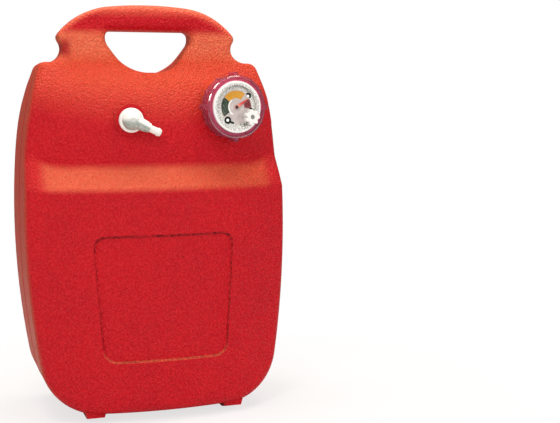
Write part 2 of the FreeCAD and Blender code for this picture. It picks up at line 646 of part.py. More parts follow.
def make_pointer():
    """Flat tapered pointer with its hub, both pressed on the spindle."""
    body = new_body("gauge_pointer")
    sketch = new_sketch(body, "XY_Plane", POINTER_LOW)
    polygon(sketch, [("-pointer_tail", "-pointer_width"), ("pointer_tail", "-pointer_width"),
                     ("pointer_length", "-pointer_width / 4"), ("pointer_length", "pointer_width / 4"),
                     ("pointer_tail", "pointer_width"), ("-pointer_tail", "pointer_width")])
    blade = body.newObject("PartDesign::Pad", "gauge_pointer_blade")
    blade.Profile = sketch
    blade.setExpression("Length", bound("pointer_thick"))
    pocket(body, [("spindle_radius + press_gap",)], f"{POINTER_LOW} + pointer_thick", "pointer_thick")
    keep(body, "pointer")
    keep(sleeve("pointer_hub", "spindle_radius + press_gap", "hub_radius", f"{POINTER_LOW} + pointer_thick",
                HUB_HIGH), "cap")


def make_spindle():
    """Bush in the housing, and the spindle below it: a flat strip twisted so that the float turns it."""
    keep(turn_body("spindle_bush", [
        ("spindle_radius + spindle_play", "-barrel_depth - bush_flange_thick"),
        ("bush_flange", "-barrel_depth - bush_flange_thick"), ("bush_flange", "-barrel_depth"),
        ("bush_radius - press_gap", "-barrel_depth"), ("bush_radius - press_gap", "dish_floor"),
        ("spindle_radius + spindle_play", "dish_floor")]), "cap")
    top = -size("barrel_depth") - size("bush_flange_thick") - size("face_gap")
    bottom = size("face_gap") - size("foot_plate_w")
    # The strip lies along the slider's slot at the slider's middle height
    middle = size("float_thick") / 2 - size("float_w") - size("slider_thick") / 2
    rate = math.radians(size("sweep_angle")) / size("float_stroke")
    steps = math.ceil((top - bottom) / size("strip_step"))
    half_width, half_thick = size("strip_width") / 2, size("strip_thick") / 2
    sections = []
    for k in range(steps + 1):
        height = bottom + (top - bottom) * k / steps
        turn = -rate * (height - middle)
        corners = [(half_width, half_thick), (-half_width, half_thick), (-half_width, -half_thick),
                   (half_width, -half_thick), (half_width, half_thick)]
        sections.append(Part.makePolygon([
            Vector(x * math.cos(turn) - y * math.sin(turn), x * math.sin(turn) + y * math.cos(turn), height)
            for x, y in corners]))
    strip = Part.makeLoft(sections, True, False)
    hub_high = size("dish_floor") + size("face_gap") + size("dial_thick") + size("pointer_lift")
    hub_high += size("pointer_thick") + size("hub_height")
    journal = size("spindle_radius")
    upper = Part.makeCylinder(journal, hub_high - top + PAST, Vector(0, 0, top - PAST))
    lower = Part.makeCylinder(journal, size("foot_plate_thick") + PAST,
                              Vector(0, 0, bottom + PAST - size("foot_plate_thick") - PAST))
    keep(shaped("twisted_strip", strip.fuse([upper, lower])), "cap")


# Cage and float
def make_cage():
    """Two guide rods pressed in the barrel, the foot plate that joins them and its clips."""
    foot_low = "-foot_plate_w - foot_plate_thick"
    clip_low = f"{foot_low} - clip_thick"
    rod_low, rod_high = f"{clip_low} - rod_tail", "-barrel_depth + rod_sink"
    sides = (("left", "-rod_offset"), ("right", "rod_offset"))
    rods = [cylinder(f"rod_{side}", "rod_radius", rod_low, rod_high, across) for side, across in sides]
    keep(joined("Part::Compound", "guide_rods", rods), "cap")
    journal = "spindle_radius + spindle_play"
    plate = sleeve("cage_foot", journal, "foot_plate_radius", foot_low, "-foot_plate_w")
    pocket(plate, RODS, "-foot_plate_w", "foot_plate_thick")
    keep(plate, "cap")
    rounds = [cylinder(f"clip_{side}", "clip_radius", clip_low, foot_low, across) for side, across in sides]
    holes = [cylinder(f"clip_hole_{side}", "rod_radius + press_gap", clip_low, foot_low, across)
             for side, across in sides]
    clips = less("rod_clips", joined("Part::Compound", "clip_rounds", rounds),
                 joined("Part::Compound", "clip_holes", holes))
    keep(clips, "cap")


def make_float():
    """Float with its rod holes, and the slotted slider in its top that turns the twisted strip."""
    top, low = "float_thick / 2 - float_w", "-float_thick / 2 - float_w"
    recess = f"{top} - slider_thick"
    wide = "slider_radius + edge_gap"
    body = turn_body("float", [
        ("float_bore", low), ("float_radius", low), ("float_radius", top), (wide, top), (wide, recess),
        ("float_bore", recess)])
    passage = [("rod_radius + float_rod_gap", "rod_offset"), ("rod_radius + float_rod_gap", "-rod_offset")]
    pocket(body, passage, top, "float_thick")
    height = size("float_thick") / 2 - size("float_w")
    soften(body, "rim_round", lambda edge: is_rim(edge, size("float_radius"), height))
    keep(body, "cap")
    slider = sleeve("float_slider", "0", "slider_radius", recess, top)
    across, along = "strip_width / 2 + slot_gap", "strip_thick / 2 + slot_gap"
    pocket(slider, [], top, "slider_thick", [
        (f"-({across})", f"-({along})"), (across, f"-({along})"), (across, along), (f"-({across})", along)])
    keep(slider, "cap")


# Vent
def make_vent():
    """Vent screw with its sealing washer and its star knob."""
    washer_high = "rim_front + vent_washer_thick"
    keep(sleeve("vent_washer", "vent_hole", "vent_washer", "rim_front", washer_high), "vent")
    knob_low = f"{washer_high} + face_gap"
    knob_high = f"{knob_low} + knob_height"
    tail, head = "floor_under - vent_tail", f"{knob_high} - knob_dish"
    keep(sleeve("vent_screw", "0", "vent_shank", tail, head), "vent")
    knob = sleeve("vent_knob", "vent_shank + press_gap", "knob_radius", knob_low, knob_high)
    around(knob, pad(knob, [("knob_lobe", "knob_lobe_circle")], knob_low, "knob_height"), "knob_lobes")
    keep(knob, "vent")


# Outlet
def make_outlet():
    """Washer and threaded bush in the tank's boss, with the pickup tube and its strainer."""
    hole = "bush_thread + bush_thread_gap"
    keep(sleeve("outlet_washer", hole, "outlet_washer", "0", "outlet_washer_thick"), "outlet")
    front = "outlet_washer_thick + outlet_flange_thick"
    end = "-bush_shank - stub_length"
    keep(turn_body("outlet_bush", [
        ("stub_bore", end), ("stub_radius", end), ("stub_radius", "-bush_shank"),
        ("bush_thread", "-bush_shank"), ("bush_thread", "outlet_washer_thick"),
        ("outlet_washer", "outlet_washer_thick"), ("outlet_washer", front), ("socket_radius", front),
        ("socket_radius", "-socket_depth"), ("stub_bore", "-socket_depth")]), "outlet")
    tube_top = "-bush_shank - face_gap"
    keep(sleeve("pickup_tube", "stub_radius + tube_play", "tube_radius", "-tube_end", tube_top), "outlet")
    wide, neck = "strainer_radius - strainer_wall", "tube_radius + strainer_play"
    body = turn_body("strainer", [
        ("0", "-strainer_end"), ("strainer_radius", "-strainer_end"), ("strainer_radius", "-strainer_neck"),
        (neck, "-strainer_neck"), (neck, "-strainer_shoulder"), (wide, "-strainer_shoulder"),
        (wide, "-strainer_end + strainer_wall"), ("0", "-strainer_end + strainer_wall")])
    doc.recompute()
    whole = body.Shape.Volume
    sketch = new_sketch(body, "XZ_Plane")
    polygon(sketch, [("-slot_width / 2", "-slot_low"), ("slot_width / 2", "-slot_low"),
                     ("slot_width / 2", "-slot_high"), ("-slot_width / 2", "-slot_high")])
    slot = body.newObject("PartDesign::Pocket", "strainer_slot")
    slot.Profile = sketch
    slot.Type = "ThroughAll"
    around(body, slot, "slot_count")
    doc.recompute()
    if body.Shape.Volume > whole - 1:
        raise RuntimeError("the strainer's slots cut nothing")
    keep(body, "outlet")


# Elbow
def roof_height():
    """Height of the elbow's skirt, above its seat."""
    over_bush = size("outlet_washer_thick") + size("outlet_flange_thick") + size("face_gap")
    return over_bush + size("skirt_roof")


def in_arm(item):
    """Lay a turned piece along the elbow's arm, in the outlet's own axes."""
    turn = FreeCAD.Rotation(Vector(0, 0, 1), -size("arm_angle")) * FreeCAD.Rotation(Vector(0, 1, 0), 90)
    item.Placement = FreeCAD.Placement(Vector(), turn)
    item.setExpression(".Placement.Base.z", bound("arm_w"))
    return item


def make_elbow():
    """Swivel elbow: skirt, hood, arm, plug with a groove for its O-ring, and the bores through them."""
    roof = "outlet_washer_thick + outlet_flange_thick + face_gap"
    shelf = f"{roof} + skirt_roof"
    crown = turn_body("elbow_crown", [
        ("0", "elbow_low"), ("elbow_radius", "elbow_low"), ("elbow_radius", shelf), ("hood_radius", shelf),
        ("hood_radius", "elbow_front"), ("0", "elbow_front")])
    soften(crown, "skirt_round", lambda edge: is_rim(edge, size("elbow_radius"), roof_height()))
    soften(crown, "hood_round", lambda edge: is_rim(edge, size("hood_radius"), size("elbow_front")))
    arm = in_arm(turn_body("elbow_arm", [
        ("0", "0"), ("arm_base", "0"), ("arm_tip", "arm_cone"), ("arm_collar", "arm_cone"),
        ("arm_collar", "arm_end"), ("0", "arm_end")]))
    outside = joined("Part::MultiFuse", "elbow_outside", [crown, arm])
    recess = cylinder("elbow_recess", "elbow_skirt_bore", "-elbow_low", roof)
    skirted = less("elbow_skirted", outside, recess)
    plug = "socket_radius - spigot_play"
    end, groove_low = "face_gap - socket_depth", "-groove_top - groove_width"
    spigot = turn_body("elbow_spigot", [
        ("0", end), (plug, end), (plug, groove_low), ("groove_radius", groove_low),
        ("groove_radius", "-groove_top"), (plug, "-groove_top"), (plug, f"{roof} + elbow_bore"),
        ("0", f"{roof} + elbow_bore")])
    solid = joined("Part::MultiFuse", "elbow_solid", [skirted, spigot])
    down = cylinder("elbow_bore_down", "elbow_bore", "-socket_depth", "arm_w")
    socket = "barb_radius + press_gap"
    along = in_arm(turn_body("elbow_bore_along", [
        ("0", "-arm_bore"), ("arm_bore", "-arm_bore"), ("arm_bore", "arm_end - barb_sink"),
        (socket, "arm_end - barb_sink"), (socket, "arm_end + barb_sink"), ("0", "arm_end + barb_sink")]))
    bores = joined("Part::MultiFuse", "elbow_bores", [down, along])
    keep(less("elbow_body", solid, bores), "outlet")
    ring = doc.addObject("Part::Torus", "elbow_o_ring")
    ring.setExpression("Radius1", bound("groove_radius + ring_play + ring_section"))
    ring.setExpression("Radius2", bound("ring_section"))
    rules, turn = SEATS["outlet"]
    ring.Placement = FreeCAD.Placement(Vector(), turn)
    ring_y = f"{rules[1]} + groove_top + groove_width / 2"
    for axis, rule in zip("xyz", (rules[0], ring_y, rules[2])):
        ring.setExpression(f".Placement.Base.{axis}", bound(rule))
    pieces.append(ring)
    bead = "barb_end - barb_bead_length"
    start = "arm_end - barb_sink + face_gap"
    keep(turn_body("hose_barb", [
        ("barb_bore", start), ("barb_radius", start), ("barb_radius", bead), ("barb_bead", bead),
        ("barb_bead", f"{bead} + barb_land"), ("barb_nose", "barb_end"), ("barb_bore", "barb_end")]), "arm")


make_tank_shell()
make_cap_ring()
make_gauge_housing()
make_dial()
make_pointer()
make_spindle()
make_cage()
make_float()
make_vent()
make_outlet()
make_elbow()
doc.recompute()
for item in doc.Objects:
    if "Invalid" in item.State or "Error" in item.State:
        raise RuntimeError(f"{item.Label} did not rebuild: {item.State}")
for item in pieces:
    shape = item.Shape
    if shape.isNull() or not shape.isValid() or not shape.Solids:
        raise RuntimeError(f"{item.Label} is not a valid solid")
    print(item.Label, len(shape.Solids), "solids", round(shape.Volume / 1000, 3), "cm3", shape.BoundBox)
    path = f"parts/{item.Label}.step"
    shape.exportStep(path)
    if not Part.read(path).isValid():
        raise RuntimeError(f"{path} reads back as an invalid solid")
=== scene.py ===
"""Looks of the portable outboard fuel tank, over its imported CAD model. Metres; the front faces -Y."""
import math
import bpy
from mathutils import Matrix, Vector

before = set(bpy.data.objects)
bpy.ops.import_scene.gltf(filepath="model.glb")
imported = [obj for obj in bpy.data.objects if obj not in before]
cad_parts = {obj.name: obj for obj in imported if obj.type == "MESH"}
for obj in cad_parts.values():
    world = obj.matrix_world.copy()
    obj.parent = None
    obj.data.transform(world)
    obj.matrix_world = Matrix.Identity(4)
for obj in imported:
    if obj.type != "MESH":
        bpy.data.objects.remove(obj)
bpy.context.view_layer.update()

# Camera: fitted to the photograph, which shows the tank from a little to its left and nearly level.
# The lens is for a sensor 36 mm wide, and the roll is the photograph's own slight tilt.
eye = Vector((-0.3062, -1.4590, 0.3985))
ahead = Vector((0.3197, 0.9433, -0.0897)).normalized()
roll = math.radians(-0.368)
side = ahead.cross(Vector((0, 0, 1))).normalized()
over = side.cross(ahead)
right = side * math.cos(roll) + over * math.sin(roll)
top = over * math.cos(roll) - side * math.sin(roll)
camera_data = bpy.data.cameras.new("camera")
camera_data.lens = 69.72
camera_data.sensor_width = 36
camera_data.clip_start = 0.05
camera = bpy.data.objects.new("camera", camera_data)
bpy.context.scene.collection.objects.link(camera)
turn = Matrix((right, top, -ahead)).transposed()
camera.matrix_world = Matrix.Translation(eye) @ turn.to_4x4()
bpy.context.scene.camera = camera
bpy.context.scene.view_settings.view_transform = "Standard"


# Light: a soft key over the viewer, a narrow upright lamp beside it for crisp glints on the white and clear
# plastics, a softbox straight above for the wash on the ledge and grip, and fills from the left, the right
# and the front.
def soft_lamp(name, place, target, size, power, colour=(1, 1, 1)):
    data = bpy.data.lights.new(name, "AREA")
    data.shape = "RECTANGLE"
    data.size, data.size_y = size
    data.energy = power
    data.color = colour
    lamp = bpy.data.objects.new(name, data)
    bpy.context.scene.collection.objects.link(lamp)
    place = Vector(place)
    aim = (Vector(target) - place).to_track_quat("-Z", "Y")
    lamp.matrix_world = Matrix.Translation(place) @ aim.to_matrix().to_4x4()


soft_lamp("key", (-0.45, -1.30, 1.95), (0, 0, 0.35), (0.5, 0.5), 9, (1.0, 0.95, 0.88))
soft_lamp("glint", (-0.95, -1.35, 1.25), (0, 0, 0.35), (0.10, 1.1), 7, (1.0, 0.97, 0.92))
soft_lamp("overhead", (0.05, 0.10, 1.6), (0, 0, 0.3), (1.7, 1.0), 24, (1.0, 0.90, 0.76))
soft_lamp("fill_left", (-1.8, -0.3, 0.6), (0, 0, 0.25), (0.8, 1.2), 3, (0.90, 1.0, 0.94))
soft_lamp("fill_right", (1.3, -1.7, 1.1), (0, 0, 0.3), (1.0, 1.2), 11)
soft_lamp("fill_front", (0.2, -2.4, 0.9), (0, 0, 0.3), (1.6, 1.2), 4)


# World: white to the camera, as the photograph's cut-out ground is, and a soft sky to everything else.
world = bpy.data.worlds.new("studio")
bpy.context.scene.world = world
world.use_nodes = True
sky = world.node_tree
sky.nodes.clear()
out = sky.nodes.new("ShaderNodeOutputWorld")
mix = sky.nodes.new("ShaderNodeMixShader")
path = sky.nodes.new("ShaderNodeLightPath")
seen = sky.nodes.new("ShaderNodeBackground")
seen.inputs["Color"].default_value = (1, 1, 1, 1)
seen.inputs["Strength"].default_value = 1.0
ambient = sky.nodes.new("ShaderNodeBackground")
ambient.inputs["Color"].default_value = (1, 1, 1, 1)
ambient.inputs["Strength"].default_value = 0.2
sky.links.new(path.outputs["Is Camera Ray"], mix.inputs["Fac"])
sky.links.new(ambient.outputs[0], mix.inputs[1])
sky.links.new(seen.outputs[0], mix.inputs[2])
sky.links.new(mix.outputs[0], out.inputs["Surface"])


# Node helpers: each material is a tree of nodes, and a shared effect is a group with its own sockets.
class Tree:
    def __init__(self, tree):
        self.tree = tree

    def node(self, kind, inputs=(), **settings):
        item = self.tree.nodes.new(kind)
        for name, value in settings.items():
            setattr(item, name, value)
        for name, value in dict(inputs).items():
            self.feed(item.inputs[name], value)
        return item

    def feed(self, socket, value):
        if isinstance(value, bpy.types.NodeSocket):
            self.tree.links.new(value, socket)
        else:
            socket.default_value = value

    def math(self, operation, *values):
        item = self.tree.nodes.new("ShaderNodeMath")
        item.operation = operation
        for socket, value in zip(item.inputs, values):
            self.feed(socket, value)
        return item.outputs[0]

    def vector(self, operation, *values):
        item = self.node("ShaderNodeVectorMath", dict(enumerate(values)), operation=operation)
        return item.outputs["Value" if operation in ("DOT_PRODUCT", "LENGTH", "DISTANCE") else "Vector"]

    def dot(self, vector, other):
        return self.vector("DOT_PRODUCT", vector, other)

    def ramp(self, value, low, high, start=0.0, end=1.0, smooth=False):
        """start where the value is at low, end where it is at high, and no further to either side."""
        inputs = {"Value": value, "From Min": low, "From Max": high, "To Min": start, "To Max": end}
        kind = "SMOOTHSTEP" if smooth else "LINEAR"
        return self.node("ShaderNodeMapRange", inputs, interpolation_type=kind).outputs[0]

    def band(self, value, low, high, soft):
        """1 between low and high and 0 outside. Each edge reaches soft to either side."""
        rise = self.ramp(value, low - soft, low + soft)
        fall = self.ramp(value, high - soft, high + soft, 1.0, 0.0)
        return self.math("MULTIPLY", rise, fall)

    def blend(self, factor, low, high):
        item = self.tree.nodes.new("ShaderNodeMix")
        item.data_type = "RGBA"
        self.feed(item.inputs["Factor"], factor)
        self.feed(item.inputs["A"], low)
        self.feed(item.inputs["B"], high)
        return item.outputs["Result"]

    def place(self):
        return self.node("ShaderNodeTexCoord").outputs["Object"]

    def normal(self):
        return self.node("ShaderNodeNewGeometry").outputs["Normal"]

    def ray(self, kind):
        return self.node("ShaderNodeLightPath").outputs[kind]

    def noise(self, place, scale, detail=2.0, roughness=0.5):
        item = self.node("ShaderNodeTexNoise", {"Vector": place, "Scale": scale, "Detail": detail,
                                                "Roughness": roughness})
        return item.outputs["Fac"]

    def bump(self, height, distance, strength=1.0, below=None):
        values = {"Height": height, "Distance": distance, "Strength": strength}
        if below:
            values["Normal"] = below
        return self.node("ShaderNodeBump", values).outputs["Normal"]


def material(name):
    """A new material with an empty tree and its Principled shader, joined to the output."""
    made = bpy.data.materials.new(name)
    made.use_nodes = True
    tree = Tree(made.node_tree)
    made.node_tree.nodes.clear()
    shader = tree.node("ShaderNodeBsdfPrincipled")
    output = tree.node("ShaderNodeOutputMaterial", {"Surface": shader.outputs[0]})
    return made, tree, shader, output


def dress(node, made):
    """Give a CAD node its material."""
    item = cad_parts[node]
    item.data.materials.clear()
    item.data.materials.append(made)


def rgb(red, green, blue):
    """A colour given as it reads off a screen, 0 to 255."""
    def linear(value):
        value /= 255
        return value / 12.92 if value <= 0.04045 else ((value + 0.055) / 1.055) ** 2.4
    return (linear(red), linear(green), linear(blue), 1.0)


# Tank: red polyethylene with a fine pebbled grain about 3 mm across, a little uneven in its red and its
# gloss, with painted orange light where it looks up, and with a few dark specks of dirt. The lip of
# the recessed panel slopes in over 3 mm, as a blow mould leaves it, with a painted pale highlight on its
# lower edge and a painted dark shade on its upper edge. The panel is given in metres by its lower and upper
# edge, its half-width at each and its corners' radius.
PANEL_LOW, PANEL_HIGH = 0.0820, 0.2435
PANEL_HALF_LOW, PANEL_HALF_HIGH = 0.0805, 0.0920
PANEL_CORNER = 0.016
FRONT_ENDS = -0.05


def panel_lip(tree, place):
    """Distance in metres out from the panel's edge, on the front alone, and the height over its middle."""
    spot = tree.node("ShaderNodeSeparateXYZ", {0: place})
    middle, half = (PANEL_LOW + PANEL_HIGH) / 2, (PANEL_HIGH - PANEL_LOW) / 2
    up = tree.math("SUBTRACT", spot.outputs["Z"], middle)
    width = tree.math("MULTIPLY_ADD", up, (PANEL_HALF_HIGH - PANEL_HALF_LOW) / (2 * half),
                      (PANEL_HALF_HIGH + PANEL_HALF_LOW) / 2)
    across = tree.math("ADD", tree.math("SUBTRACT", tree.math("ABSOLUTE", spot.outputs["X"]), width),
                       PANEL_CORNER)
    along = tree.math("ADD", tree.math("ABSOLUTE", up), PANEL_CORNER - half)
    past_x = tree.math("MAXIMUM", across, 0.0)
    past_z = tree.math("MAXIMUM", along, 0.0)
    past = tree.math("SQRT", tree.math("ADD", tree.math("MULTIPLY", past_x, past_x),
                                       tree.math("MULTIPLY", past_z, past_z)))
    inner = tree.math("MINIMUM", tree.math("MAXIMUM", across, along), 0.0)
    away = tree.math("SUBTRACT", tree.math("ADD", past, inner), PANEL_CORNER)
    behind = tree.math("GREATER_THAN", spot.outputs["Y"], FRONT_ENDS)
    return tree.math("ADD", away, behind), up


made, tree, shader, _ = material("tank_red")
place = tree.place()
cells = tree.node("ShaderNodeTexVoronoi", {"Vector": place, "Scale": 350.0, "Smoothness": 0.5},
                  feature="SMOOTH_F1").outputs["Distance"]
fine = tree.noise(place, 620.0, 2.0, 0.6)
broad = tree.noise(place, 9.0, 3.0, 0.55)
cloudy = tree.noise(place, 60.0, 3.0, 0.6)
grain = tree.math("ADD", tree.math("MULTIPLY", cells, -0.9), tree.math("MULTIPLY", fine, 0.6))
tint = tree.math("ADD", tree.math("MULTIPLY", broad, 0.55), tree.math("MULTIPLY", cloudy, 0.45))
tint = tree.ramp(tint, 0.35, 0.65)
colour = tree.blend(tint, rgb(186, 4, 26), rgb(200, 7, 28))
# Painted light from above: what looks up turns paler and orange
looks_up = tree.dot(tree.normal(), (0, 0, 1))
painted_top_light = tree.ramp(looks_up, 0.05, 0.75)
# The painted light from above is weaker towards the ledge's two ends
height = tree.dot(place, (0, 0, 1))
on_ledge = tree.ramp(height, 0.375, 0.355)
beside = tree.ramp(tree.math("ABSOLUTE", tree.dot(place, (1, 0, 0))), 0.141, 0.158, 0.0, 0.9, smooth=True)
painted_top_light = tree.math("MULTIPLY", painted_top_light, tree.math("SUBTRACT", 1.0, tree.math("MULTIPLY", on_ledge, beside)))
# Painted light makes the grip paler too, all round, but for a band below its crest that stays red as
# painted shade
high = tree.ramp(height, 0.42, 0.47, 0.0, 0.9)
held = tree.ramp(height, 0.503, 0.513, 1.0, 0.0)
crest = tree.ramp(height, 0.526, 0.541, 0.0, 0.7)
high = tree.math("MULTIPLY", high, tree.math("MAXIMUM", held, crest))
# The painted light is strongest on the grip's plates and the ledge's left half
plates = tree.ramp(height, 0.468, 0.486)
rightward = tree.ramp(tree.dot(place, (1, 0, 0)), 0.0, 0.13, 0.9, 0.25)
paler = tree.math("MAXIMUM", plates, tree.math("MULTIPLY", on_ledge, rightward))
pale = tree.blend(paler, rgb(208, 78, 44), rgb(236, 118, 82))
colour = tree.blend(tree.math("MAXIMUM", tree.math("MULTIPLY", painted_top_light, 0.85), high), colour, pale)
# Painted sheen: what looks sideways is browner
sideways = tree.math("ABSOLUTE", tree.dot(tree.normal(), (1, 0, 0)))
sideways = tree.ramp(sideways, 0.72, 0.97, 0.0, 0.6)
colour = tree.blend(sideways, colour, rgb(172, 84, 52))
lip, over_middle = panel_lip(tree, place)
# Painted highlight: a pale line along the panel's lower lip
wear_and_painted_highlight = tree.math("MULTIPLY", tree.band(lip, -0.0004, 0.0022, 0.0005),
                   tree.ramp(over_middle, -0.066, -0.078))
colour = tree.blend(tree.math("MULTIPLY", wear_and_painted_highlight, 0.6), colour, rgb(236, 110, 74))
# Painted shade: a dark line along the panel's upper lip
dust_and_painted_shade = tree.math("MULTIPLY", tree.band(lip, -0.0020, 0.0010, 0.0006), tree.ramp(over_middle, 0.066, 0.078))
colour = tree.blend(tree.math("MULTIPLY", dust_and_painted_shade, 0.45), colour, rgb(112, 14, 22))
pits = tree.ramp(grain, -0.25, 0.15)
colour = tree.blend(tree.math("MULTIPLY", pits, 0.4), colour, rgb(230, 46, 50))
# Painted shade: a darker spot on the grip's left plate, where a thumb hollow isn't modelled
painted_hollow_shade = tree.vector("SUBTRACT", place, (-0.1115, 0.0, 0.4865))
painted_hollow_shade = tree.vector("MULTIPLY", painted_hollow_shade, (1.0, 0.0, 0.6))
painted_hollow_shade = tree.vector("LENGTH", painted_hollow_shade)
painted_hollow_shade = tree.ramp(painted_hollow_shade, 0.002, 0.011, 0.8, 0.0, smooth=True)
colour = tree.blend(painted_hollow_shade, colour, rgb(168, 6, 24))
for spot in ((-0.0957, -0.0713, 0.3682), (0.0216, -0.0993, 0.2147), (0.0456, -0.0963, 0.0525)):
    off = tree.vector("DISTANCE", place, spot)
    speck = tree.ramp(off, 0.0008, 0.0016, 0.75, 0.0)
    colour = tree.blend(speck, colour, rgb(80, 16, 16))
gloss = tree.ramp(cloudy, 0.3, 0.7, 0.42, 0.52)
tree.feed(shader.inputs["Base Color"], colour)
tree.feed(shader.inputs["Roughness"], gloss)
shader.inputs["Specular IOR Level"].default_value = 0.18
slope = tree.ramp(lip, -0.0012, 0.0022, smooth=True)
tree.feed(shader.inputs["Normal"], tree.bump(grain, 0.0021, 1.0, tree.bump(slope, 0.0028, 1.0)))
dress("tank_shell", made)


# Plastics, rubbers and metals of the small pieces: one maker for each kind, with its own noise.
def plastic(name, colour, rough=0.35, uneven=0.05, grain=400.0, depth=0.00004, scatter=0.0, painted_shade_beyond=None):
    made, tree, shader, _ = material(name)
    place = tree.place()
    patch = tree.noise(place, 45.0, 3.0, 0.6)
    fine = tree.noise(place, grain, 2.0, 0.5)
    dark = tuple(channel * (1 - 2.2 * uneven) for channel in colour[:3]) + (1.0,)
    tone = tree.blend(patch, dark, colour)
    if painted_shade_beyond:
        # Painted grey shade, mottled, where the piece looks down, on what stands further forward than this
        down = tree.dot(tree.normal(), (0, 0, -1))
        down = tree.ramp(down, -0.2, 0.15)
        proud = tree.ramp(tree.dot(place, (0, -1, 0)), painted_shade_beyond, painted_shade_beyond + 0.001)
        mottled = tree.ramp(tree.noise(place, 260.0, 3.0, 0.6), 0.3, 0.7, 0.6, 1.0)
        amount = tree.math("MULTIPLY", tree.math("MULTIPLY", down, proud), mottled)
        tone = tree.blend(amount, tone, rgb(136, 146, 138))
    tree.feed(shader.inputs["Base Color"], tone)
    tree.feed(shader.inputs["Roughness"], tree.ramp(patch, 0.3, 0.7, rough - 0.05, rough + 0.07))
    tree.feed(shader.inputs["Normal"], tree.bump(fine, depth, 0.5))
    if scatter:
        shader.inputs["Subsurface Weight"].default_value = scatter
        shader.inputs["Subsurface Radius"].default_value = (1.0, 0.9, 0.8)
        shader.inputs["Subsurface Scale"].default_value = 0.002
    return made


def metal(name, colour, rough=0.28, brushed=(1.0, 1.0, 30.0)):
    made, tree, shader, _ = material(name)
    place = tree.vector("MULTIPLY", tree.place(), brushed)
    lines = tree.noise(place, 700.0, 3.0, 0.6)
    dark = tuple(channel * 0.82 for channel in colour[:3]) + (1.0,)
    tree.feed(shader.inputs["Base Color"], tree.blend(lines, dark, colour))
    shader.inputs["Metallic"].default_value = 1.0
    tree.feed(shader.inputs["Roughness"], tree.ramp(lines, 0.0, 1.0, rough - 0.06, rough + 0.1))
    tree.feed(shader.inputs["Normal"], tree.bump(lines, 0.00002, 0.4))
    return made


def rubber(name, colour):
    made, tree, shader, _ = material(name)
    place = tree.place()
    dust_and_painted_shade = tree.noise(place, 220.0, 4.0, 0.65)
    pale = tuple(min(1.0, channel * 2.1 + 0.01) for channel in colour[:3]) + (1.0,)
    tree.feed(shader.inputs["Base Color"], tree.blend(dust_and_painted_shade, colour, pale))
    tree.feed(shader.inputs["Roughness"], tree.ramp(dust_and_painted_shade, 0.0, 1.0, 0.55, 0.8))
    tree.feed(shader.inputs["Normal"], tree.bump(dust_and_painted_shade, 0.00005, 0.5))
    return made


# Knob, elbow and inner plastics: white nylon, a little translucent, with a faint unevenness. The elbow has
# painted grey shade under its head and arm.
dress("vent_knob", plastic("knob_white", rgb(246, 246, 245), 0.32, 0.02, scatter=0.15))
dress("elbow_body", plastic("elbow_white", rgb(246, 246, 244), 0.3, 0.02, scatter=0.1, painted_shade_beyond=0.0845))
dress("hose_barb", plastic("barb_white", rgb(240, 239, 235), 0.32, 0.03, scatter=0.15))
dress("vent_screw", plastic("vent_screw_grey", rgb(150, 150, 146), 0.4, 0.1))
dress("outlet_bush", plastic("outlet_bush_white", rgb(226, 224, 216), 0.4, 0.04))
dress("float_slider", plastic("slider_white", rgb(232, 230, 222), 0.4, 0.04))
dress("cage_foot", plastic("cage_foot_white", rgb(228, 226, 218), 0.42, 0.04))
dress("pickup_tube", plastic("pickup_tube_natural", rgb(222, 218, 204), 0.38, 0.05, scatter=0.3))
dress("strainer", plastic("strainer_natural", rgb(214, 210, 196), 0.45, 0.05, scatter=0.2))
dress("pointer_hub", plastic("hub_dark", rgb(46, 20, 28), 0.3, 0.1))
dress("float", plastic("float_foam", rgb(44, 44, 46), 0.8, 0.12, 900.0, 0.0003))


# Seals
dress("cap_gasket", rubber("gasket_black", rgb(34, 33, 33)))
dress("vent_washer", rubber("vent_washer_black", rgb(38, 37, 36)))
dress("outlet_washer", rubber("outlet_washer_black", rgb(36, 35, 35)))
dress("elbow_o_ring", rubber("o_ring_black", rgb(28, 28, 28)))


# Metals of the gauge's works
dress("dial_screws", metal("dial_screw_steel", rgb(172, 168, 166), 0.3))
dress("spindle_bush", metal("bush_brass", rgb(206, 170, 96), 0.3))
dress("twisted_strip", metal("strip_dark_steel", rgb(72, 54, 60), 0.34))
dress("guide_rods", metal("rod_steel", rgb(196, 196, 194), 0.24))
dress("rod_clips", metal("clip_steel", rgb(150, 150, 150), 0.32))


def pass_light(tree, shader, output, tint):
    """Let light through the piece to what stands behind it, tinted."""
    clear = tree.node("ShaderNodeBsdfTransparent", {"Color": tint})
    lit = tree.node("ShaderNodeMixShader", {"Fac": tree.ray("Is Shadow Ray"), 1: shader.outputs[0],
                                            2: clear.outputs[0]})
    tree.feed(output.inputs["Surface"], lit.outputs[0])


# Gauge window: clear acrylic with faint dust, and light passes it too.
made, tree, shader, output = material("window_clear")
place = tree.place()
dust_and_painted_shade = tree.noise(place, 300.0, 4.0, 0.7)
shader.inputs["Base Color"].default_value = rgb(250, 250, 250)
tree.feed(shader.inputs["Roughness"], tree.ramp(dust_and_painted_shade, 0.0, 1.0, 0.01, 0.08))
shader.inputs["Transmission Weight"].default_value = 1.0
shader.inputs["IOR"].default_value = 1.3
pass_light(tree, shader, output, rgb(250, 250, 250))
dress("dial_window", made)


